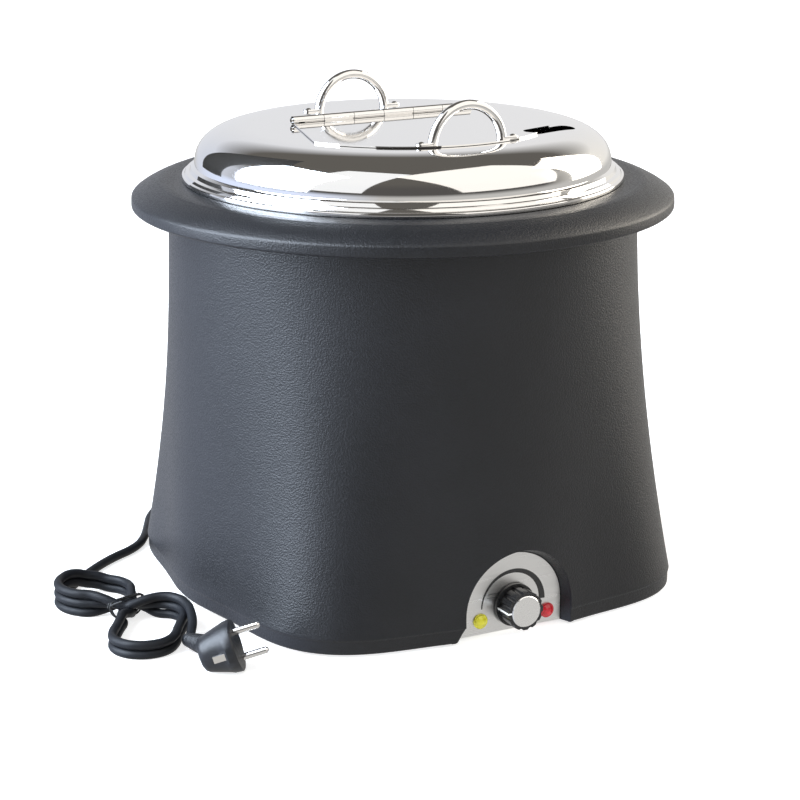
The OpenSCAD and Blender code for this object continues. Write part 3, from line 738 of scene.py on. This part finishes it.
# --------------------------------------------------------------- handles
def handle(name, y, z, body, replaced):
    """Bent rod with feet pressed flat against the sheet."""
    rod_r, bend_r = 3.5, 27.5
    path = []
    for i in range(49):
        a = math.radians(4.2 + 171.6 * i / 48)
        path.append((-bend_r * math.cos(a), y, z - 2 + bend_r * math.sin(a)))
    verts, faces = tube(path, [rod_r] * len(path), 32)
    for vert in verts:
        vert.z = max(vert.z, z * MM)
    add_mesh(name, verts, faces, chrome, "polished_steel", body, (replaced,), 50)
    for s in (-1, 1):
        verts = []
        outline = []
        for i in range(25):
            a = -math.pi / 2 + math.pi * i / 24
            outline.append((37.0 + 3.2 * math.cos(a), 3.2 * math.sin(a)))
        outline += [(28.0, 3.3), (28.0, -3.3)]
        for height, shrink in ((0, 0), (1.2, 0), (1.6, 0.45)):
            for u, v in outline:
                scale = 1 - shrink / 6
                verts.append(Vector((s * (33 + (u - 33) * scale), y + v * scale, z + height)) * MM)
        n = len(outline)
        faces = [tuple(range(n)), tuple(range(3 * n - 1, 2 * n - 1, -1))]
        for k in range(2):
            for i in range(n):
                j = (i + 1) % n
                faces.append((k * n + i, k * n + j, (k + 1) * n + j, (k + 1) * n + i))
        add_mesh(name + ("_foot_l" if s < 0 else "_foot_r"), verts, faces, chrome, "polished_steel", body, (), 40)


handle("rear_handle", 82, LID_TOP, "lid_body", "lid_handle_rear")
front_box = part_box("lid_handle_front")
handle("front_handle", -95, front_box[0].z / MM, "flap_body", "lid_handle_front")


# ------------------------------------------------------------------- tie
def build_tie():
    """Thin twisted tie round the waist of the hank, with a loose end."""
    centre = Vector((-229.6, -11.6))
    run = (MID - LEFT).normalized()
    side = Vector((-run.y, run.x))
    loop = [
        (-15.0, 10.2), (-13.6, 13.8), (-9, 14.6), (0, 14.8), (9, 14.6), (13.6, 13.8), (15.0, 10.2),
        (13, 5.6), (9, 1.8), (4, 0.9), (-4, 0.9), (-9, 1.8), (-13, 5.6),
    ]
    turns = 2
    path = []
    for k in range(turns * len(loop) + 1):
        u, z = loop[k % len(loop)]
        shift = -2.2 + 4.4 * k / (turns * len(loop))
        spot = centre + side * u + run * shift
        path.append((spot.x, spot.y, z))
    for spot, z in ((centre + side * -19 + run * 6, 15), (centre + side * -14 + run * 13, 19)):
        path.append((spot.x, spot.y, z))
    path = smooth_profile(path, 4)
    verts, faces = tube(path, [0.65] * len(path), 10)
    add_mesh("twist_tie", verts, faces, tie_black, "knob_plastic", "housing_body", ("cord_tie",))


build_tie()

# ------------------------------------------------------ floor and lights
def card(name, size, place, target, color, strength):
    """Soft rectangular light facing a target."""
    data = bpy.data.lights.new(name, "AREA")
    data.shape = "RECTANGLE"
    data.size, data.size_y = size
    data.energy = strength
    data.color = color
    obj = bpy.data.objects.new(name, data)
    obj.location = place
    obj.rotation_euler = (Vector(target) - Vector(place)).to_track_quat("-Z", "Y").to_euler()
    obj.visible_camera = False
    bpy.context.scene.collection.objects.link(obj)


FLOOR_HALF = 16
floor_mat = plain(
    "floor_paper", (0.70, 0.70, 0.70), (0.72, 0.72, 0.72), 0.7, 0.8, 0.5, 0.0,
    Emission_Color=(1, 1, 1, 1), Emission_Strength=0.72,
)
floor = add_mesh(
    "floor",
    [(x * FLOOR_HALF, y * FLOOR_HALF, 0) for x, y in ((-1, -1), (1, -1), (1, 1), (-1, 1))],
    [(0, 1, 2, 3)], floor_mat, None, None,
)


def flag(name, size, place, target, shade):
    """Dark card that only shows in reflections."""
    mat = plain(name + "_card", (shade, shade * 0.97, shade * 0.93), (shade, shade, shade), 0.8, 0.9)
    w, h = size[0] / 2, size[1] / 2
    obj = add_mesh(name, [(-w, -h, 0), (w, -h, 0), (w, h, 0), (-w, h, 0)], [(0, 1, 2, 3)], mat, None, None)
    obj.location = place
    obj.rotation_euler = (Vector(target) - Vector(place)).to_track_quat("-Z", "Y").to_euler()
    obj.visible_camera = False
    obj.visible_shadow = False


def around(azimuth, distance, height):
    """Point at an azimuth to the right of the camera, seen from the object."""
    a = math.radians(azimuth)
    return (across * math.sin(a) - heading * math.cos(a)) * distance + Vector((0, 0, height))


BOX_DISTANCE = 2.4


def softbox(name, azimuth, width, height, tone, radiance):
    """Tall area light standing on the floor, with its brightness given per area."""
    place = around(azimuth, BOX_DISTANCE, 0.1 + height / 2)
    card(name, (width, height), place, (0, 0, 1.1), tone, math.pi * width * height * radiance)


softbox("box_left", -36, 2.0, 5.2, (0.96, 0.98, 1.0), 1.0)
softbox("key_left", -75, 2.6, 3.5, (0.76, 0.86, 1.0), 13.0)
softbox("box_right", 60, 4.2, 5.2, (1.0, 0.965, 0.91), 1.1)
softbox("key_right", 118, 1.5, 2.6, (1.0, 0.93, 0.82), 4.5)
flag("flag_left", (1.3, 3.6), around(-126, 2.5, 1.8), (0, 0, 1.2), 0.02)
floor.visible_glossy = False

world = bpy.data.worlds.new("studio")
bpy.context.scene.world = world
world.use_nodes = True
tree = world.node_tree
sky_coord = tree.nodes.new("ShaderNodeTexCoord")


def sky_axis(vector, start, end):
    """0 to 1 along a fixed direction of the sky."""
    dot = tree.nodes.new("ShaderNodeVectorMath")
    dot.operation = "DOT_PRODUCT"
    dot.inputs[1].default_value = vector
    span = tree.nodes.new("ShaderNodeMapRange")
    span.inputs["From Min"].default_value = start
    span.inputs["From Max"].default_value = end
    tree.links.new(sky_coord.outputs["Generated"], dot.inputs[0])
    tree.links.new(dot.outputs["Value"], span.inputs["Value"])
    return span.outputs["Result"]


def sky_mix(factor, first, second):
    mix = tree.nodes.new("ShaderNodeMix")
    mix.data_type = "RGBA"
    tree.links.new(factor, mix.inputs[0])
    for socket, value in ((mix.inputs[6], first), (mix.inputs[7], second)):
        if isinstance(value, tuple):
            socket.default_value = (*value, 1)
        else:
            tree.links.new(value, socket)
    return mix.outputs[2]


back_tone = sky_mix(sky_axis(tuple(across), -0.6, 0.6), (0.72, 0.76, 0.86), (0.95, 0.92, 0.86))
level = sky_mix(sky_axis(tuple(heading), -0.15, 0.45), (0.10, 0.095, 0.09), back_tone)
sky = sky_mix(sky_axis((0, 0, 1), 0.34, 0.62), level, (0.13, 0.122, 0.11))
ground = sky_mix(sky_axis(tuple(across), -0.9, -0.2), (0.85, 0.95, 1.2), (0.60, 0.59, 0.57))
sky = sky_mix(sky_axis((0, 0, 1), -0.12, 0.0), ground, sky)
tree.links.new(sky, tree.nodes["Background"].inputs["Color"])
bpy.context.scene.view_settings.view_transform = "Standard"
